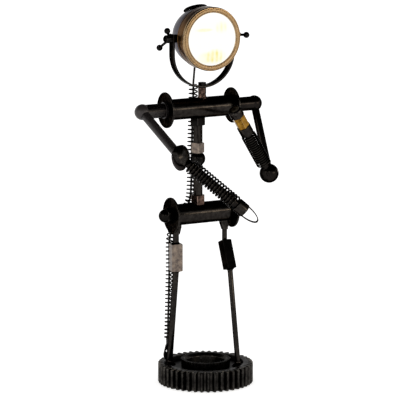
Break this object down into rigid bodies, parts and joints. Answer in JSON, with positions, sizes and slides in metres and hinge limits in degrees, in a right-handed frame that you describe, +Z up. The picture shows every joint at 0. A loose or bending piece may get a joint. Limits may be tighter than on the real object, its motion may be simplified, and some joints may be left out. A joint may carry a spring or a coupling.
{
  "type": "robot desk lamp",
  "caption": "Desk lamp shaped as a standing robot of rods, tubes, springs and a gear foot, with a tilting headlamp for a head and hinged arms.",
  "frame": {"origin": "centre of the gear's bore at its bottom face", "axes": "+Z up along the gear's bore, the lamp faces -Y, +X towards the arm bent up at the shoulder; the bore's mate leaves downwards"},
  "size_m": [0.2409, 0.2926, 0.6407],
  "materials": {
    "gear_iron": "oiled black, worn bright on its edges",
    "dark_steel": "dark lacquer",
    "black_steel": "black lacquer",
    "worn_steel": "worn",
    "copper_nut": "copper-toned",
    "spring_steel": "blackened",
    "brass_hex": "polished",
    "bowl_steel": "grey satin",
    "bronze_band": "dark bronze",
    "bezel_bronze": "pale bronze",
    "lens_glass": "ribbed glass, lit",
    "bulb_glass": "warm white",
    "mirror": "polished",
    "black_rubber": "matt",
    "black_plastic": "matt"
  },
  "bodies": {
    "stand": {"base_gear": "gear_iron", "dog_ring": "dark_steel", "left_shin": "black_steel", "left_knee_block": "worn_steel", "left_thigh": "black_steel", "right_shin": "black_steel", "right_knee_block": "dark_steel", "right_thigh": "black_steel", "hip_tube": "black_steel", "hip_washers": "dark_steel", "hip_bolt": "dark_steel", "hip_cap_nut": "dark_steel", "spine_foot_nut": "copper_nut", "spine_rods": "black_steel", "spine_ball": "dark_steel", "spine_block": "worn_steel", "spine_collar_nut": "dark_steel", "shoulder_tube": "black_steel", "shoulder_washers": "dark_steel", "neck_post": "black_steel", "neck_bolt": "dark_steel", "cable_spring_upper": "spring_steel", "cable_spring_lower": "spring_steel", "spring_anchor_lug": "black_steel", "lead_in_springs": "black_rubber", "strain_relief": "black_rubber", "mains_lead": "black_rubber", "lead_coil": "black_rubber", "plug": "black_plastic"},
    "stirrup": {"yoke": "dark_steel", "head_lead_lower": "black_rubber"},
    "head": {"head_bowl": "bowl_steel", "head_band": "bronze_band", "bezel_ring": "bezel_bronze", "lens": "lens_glass", "lens_gasket": "black_rubber", "reflector": "mirror", "lampholder": "black_plastic", "bulb": "bulb_glass", "vent_cap": "dark_steel", "pivot_studs": "dark_steel", "bezel_screw": "worn_steel", "lead_gland": "black_rubber", "switch_bush": "worn_steel", "head_lead_upper": "black_rubber"},
    "toggle": {"switch_lever": "worn_steel"},
    "wing_left": {"left_wing_nut": "dark_steel"},
    "wing_right": {"right_wing_nut": "dark_steel"},
    "upper_arm_left": {"left_upper_arm": "black_steel"},
    "forearm_left": {"left_elbow_knob": "dark_steel", "left_forearm_rod": "black_steel", "left_forearm_spring": "spring_steel", "left_hand_sleeve": "black_steel", "left_hand_loop": "dark_steel"},
    "upper_arm_right": {"right_upper_arm": "black_steel", "right_elbow_pin": "worn_steel"},
    "forearm_right": {"right_forearm_rod": "black_steel", "right_forearm_spring": "spring_steel", "right_hand_sleeves": "black_steel", "right_hand_hex": "brass_hex"}
  },
  "joints": [
    {"name": "yoke_swivel", "type": "hinge", "parent": "stand", "child": "stirrup", "pos_m": [0.004, 0.02, 0.503], "axis": [0, 0, 1], "range_deg": [-40, 40], "deforming": ["head_lead_lower"]},
    {"name": "head_tilt", "type": "hinge", "parent": "stirrup", "child": "head", "pos_m": [0.004, 0.02, 0.586], "axis": [1, 0, 0], "range_deg": [-40, 45], "deforming": ["head_lead_upper"]},
    {"name": "toggle_switch", "type": "hinge", "parent": "head", "child": "toggle", "pos_m": [0.004, 0.0784, 0.586], "axis": [1, 0, 0], "range_deg": [-26, 0]},
    {"name": "left_wing_turn", "type": "hinge", "parent": "head", "child": "wing_left", "pos_m": [-0.06, 0.02, 0.586], "axis": [-1, 0, 0], "range_deg": [0, 360]},
    {"name": "right_wing_turn", "type": "hinge", "parent": "head", "child": "wing_right", "pos_m": [0.068, 0.02, 0.586], "axis": [1, 0, 0], "range_deg": [0, 360]},
    {"name": "left_shoulder", "type": "hinge", "parent": "stand", "child": "upper_arm_left", "pos_m": [-0.0644, 0.02, 0.467], "axis": [1, 0, 0], "range_deg": [-60, 25]},
    {"name": "left_elbow", "type": "hinge", "parent": "upper_arm_left", "child": "forearm_left", "pos_m": [-0.0976, -0.09202, 0.40939], "axis": [0.461, -0.8419, 0.2806], "range_deg": [-30, 20]},
    {"name": "right_shoulder", "type": "hinge", "parent": "stand", "child": "upper_arm_right", "pos_m": [0.0605, 0.02, 0.467], "axis": [1, 0, 0], "range_deg": [-30, 15]},
    {"name": "right_elbow", "type": "hinge", "parent": "upper_arm_right", "child": "forearm_right", "pos_m": [0.1034, -0.03302, 0.35502], "axis": [0.69, -0.654, 0.31], "range_deg": [0, 55]}
  ]
}
